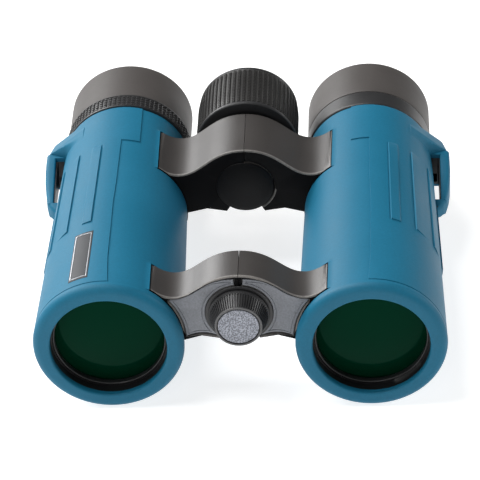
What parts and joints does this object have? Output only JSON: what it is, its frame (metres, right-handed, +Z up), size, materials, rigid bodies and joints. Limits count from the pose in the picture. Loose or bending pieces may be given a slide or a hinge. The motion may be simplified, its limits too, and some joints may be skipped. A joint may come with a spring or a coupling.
{
  "type": "binoculars",
  "caption": "Open-bridge roof-prism binoculars with a centre focus wheel, folding hinge, twist-up eyecups, strap lugs and a capped tripod socket.",
  "frame": {"origin": "centre of the box's bottom face, on the surface the binoculars lie on", "axes": "+Z up, +Y from the objectives to the eyepieces along the barrels, +X to the user's left-hand barrel"},
  "size_m": [0.1278, 0.127, 0.0476],
  "materials": {
    "armour": "satin textured elastomer armour",
    "badge": "gunmetal plate with a plain border",
    "coated_glass": "green multi-coated",
    "prism_glass": "polished",
    "eyecup_rubber": "matte",
    "grip_rubber": "fine pips",
    "cover_grey": "fine texture",
    "cap_disc": "sparkling grey",
    "black_plastic": "matte",
    "bridge_paint": "matte textured paint",
    "brass": "machined",
    "steel": "machined",
    "alloy": "machined",
    "seal_rubber": "smooth",
    "chassis_metal": "black magnesium casting",
    "sleeve_plastic": "smooth",
    "black_anodised": "black anodised"
  },
  "bodies": {
    "right_half": {"right_chassis": "chassis_metal", "right_armour": "armour", "right_objective_retainer": "black_anodised", "right_objective_crown": "coated_glass", "right_objective_flint": "coated_glass", "right_prism_cage": "black_anodised", "right_half_penta_prism": "prism_glass", "right_roof_prism": "prism_glass", "right_eyepiece_tube": "black_anodised", "right_front_arm": "bridge_paint", "right_rear_arm": "bridge_paint", "right_front_cover": "cover_grey", "right_bridge_screws": "steel", "badge": "badge", "front_hinge_tube": "steel", "front_hinge_cap": "black_plastic", "tripod_insert": "steel", "hinge_core": "steel", "rear_hinge_cap": "black_plastic"},
    "left_half": {"left_chassis": "chassis_metal", "left_armour": "armour", "left_objective_retainer": "black_anodised", "left_objective_crown": "coated_glass", "left_objective_flint": "coated_glass", "left_prism_cage": "black_anodised", "left_half_penta_prism": "prism_glass", "left_roof_prism": "prism_glass", "left_eyepiece_tube": "black_anodised", "left_front_arm": "bridge_paint", "left_rear_arm": "bridge_paint", "left_front_cover": "cover_grey", "left_bridge_screws": "steel", "left_collar": "black_plastic", "left_ocular_cell": "black_anodised", "left_field_lens": "coated_glass", "left_eye_lens": "coated_glass"},
    "focus_wheel_group": {"focus_wheel": "black_plastic", "focus_grip": "grip_rubber", "focus_end_cap": "black_plastic", "focus_spindle": "brass"},
    "focus_nut_group": {"focus_nut": "brass"},
    "right_focus": {"right_focus_arm": "alloy", "right_focus_cell": "black_anodised", "right_focus_lens": "coated_glass"},
    "left_focus": {"left_focus_arm": "alloy", "left_focus_cell": "black_anodised", "left_focus_lens": "coated_glass"},
    "diopter": {"diopter_ring": "black_plastic"},
    "right_ocular": {"right_ocular_cell": "black_anodised", "right_field_lens": "coated_glass", "right_eye_lens": "coated_glass"},
    "right_cup_cam": {"right_eyecup_cam_ring": "alloy"},
    "right_cup": {"right_eyecup_sleeve": "sleeve_plastic", "right_eyecup_rubber": "eyecup_rubber"},
    "left_cup_cam": {"left_eyecup_cam_ring": "alloy"},
    "left_cup": {"left_eyecup_sleeve": "sleeve_plastic", "left_eyecup_rubber": "eyecup_rubber"},
    "tripod_washer": {"tripod_cap_washer": "seal_rubber"},
    "tripod_cap_group": {"tripod_cap": "black_plastic", "tripod_cap_disc": "cap_disc"}
  },
  "joints": [
    {"name": "fold", "type": "hinge", "parent": "right_half", "child": "left_half", "pos_m": [0, 0.0185, 0.0316], "axis": [0, 1, 0], "range_deg": [0, 62]},
    {"name": "focus_turn", "type": "hinge", "parent": "right_half", "child": "focus_wheel_group", "pos_m": [0, 0.0185, 0.0316], "axis": [0, 1, 0], "range_deg": [-270, 270]},
    {"name": "focus_nut_slide", "type": "slide", "parent": "right_half", "child": "focus_nut_group", "axis": [0, 1, 0], "range_m": [-0.0028, 0.0028]},
    {"name": "right_focus_slide", "type": "slide", "parent": "right_half", "child": "right_focus", "axis": [0, 1, 0], "range_m": [-0.0028, 0.0028]},
    {"name": "left_focus_slide", "type": "slide", "parent": "left_half", "child": "left_focus", "axis": [0, 1, 0], "range_m": [-0.0028, 0.0028]},
    {"name": "diopter_turn", "type": "hinge", "parent": "right_half", "child": "diopter", "pos_m": [-0.03845, 0.0185, 0.0223], "axis": [0, 1, 0], "range_deg": [-30, 30]},
    {"name": "right_ocular_slide", "type": "slide", "parent": "right_half", "child": "right_ocular", "axis": [0, 1, 0], "range_m": [-0.001, 0.001]},
    {"name": "right_cup_turn", "type": "hinge", "parent": "right_half", "child": "right_cup_cam", "pos_m": [-0.03845, 0.0185, 0.0223], "axis": [0, 1, 0], "range_deg": [0, 270]},
    {"name": "right_cup_rise", "type": "slide", "parent": "right_cup_cam", "child": "right_cup", "axis": [0, 1, 0], "range_m": [0, 0.007]},
    {"name": "left_cup_turn", "type": "hinge", "parent": "left_half", "child": "left_cup_cam", "pos_m": [0.03845, 0.0185, 0.0223], "axis": [0, 1, 0], "range_deg": [0, 270]},
    {"name": "left_cup_rise", "type": "slide", "parent": "left_cup_cam", "child": "left_cup", "axis": [0, 1, 0], "range_m": [0, 0.007]},
    {"name": "tripod_cap_turn", "type": "hinge", "parent": "right_half", "child": "tripod_washer", "pos_m": [0, 0.0185, 0.0316], "axis": [0, -1, 0], "range_deg": [0, 7086.4]},
    {"name": "tripod_cap_unscrew", "type": "slide", "parent": "tripod_washer", "child": "tripod_cap_group", "axis": [0, -1, 0], "range_m": [0, 0.025]}
  ],
  "couplings": [
    {"joint": "focus_nut_slide", "follows": "focus_turn", "m_per_rad": 0.000594},
    {"joint": "right_focus_slide", "follows": "focus_turn", "m_per_rad": 0.000594},
    {"joint": "left_focus_slide", "follows": "focus_turn", "m_per_rad": 0.000594},
    {"joint": "diopter_turn", "follows": "right_ocular_slide", "rad_per_m": 523.6},
    {"joint": "right_cup_rise", "follows": "right_cup_turn", "m_per_rad": 0.001485},
    {"joint": "left_cup_rise", "follows": "left_cup_turn", "m_per_rad": 0.001485},
    {"joint": "tripod_cap_turn", "follows": "tripod_cap_unscrew", "rad_per_m": 4947.4}
  ]
}
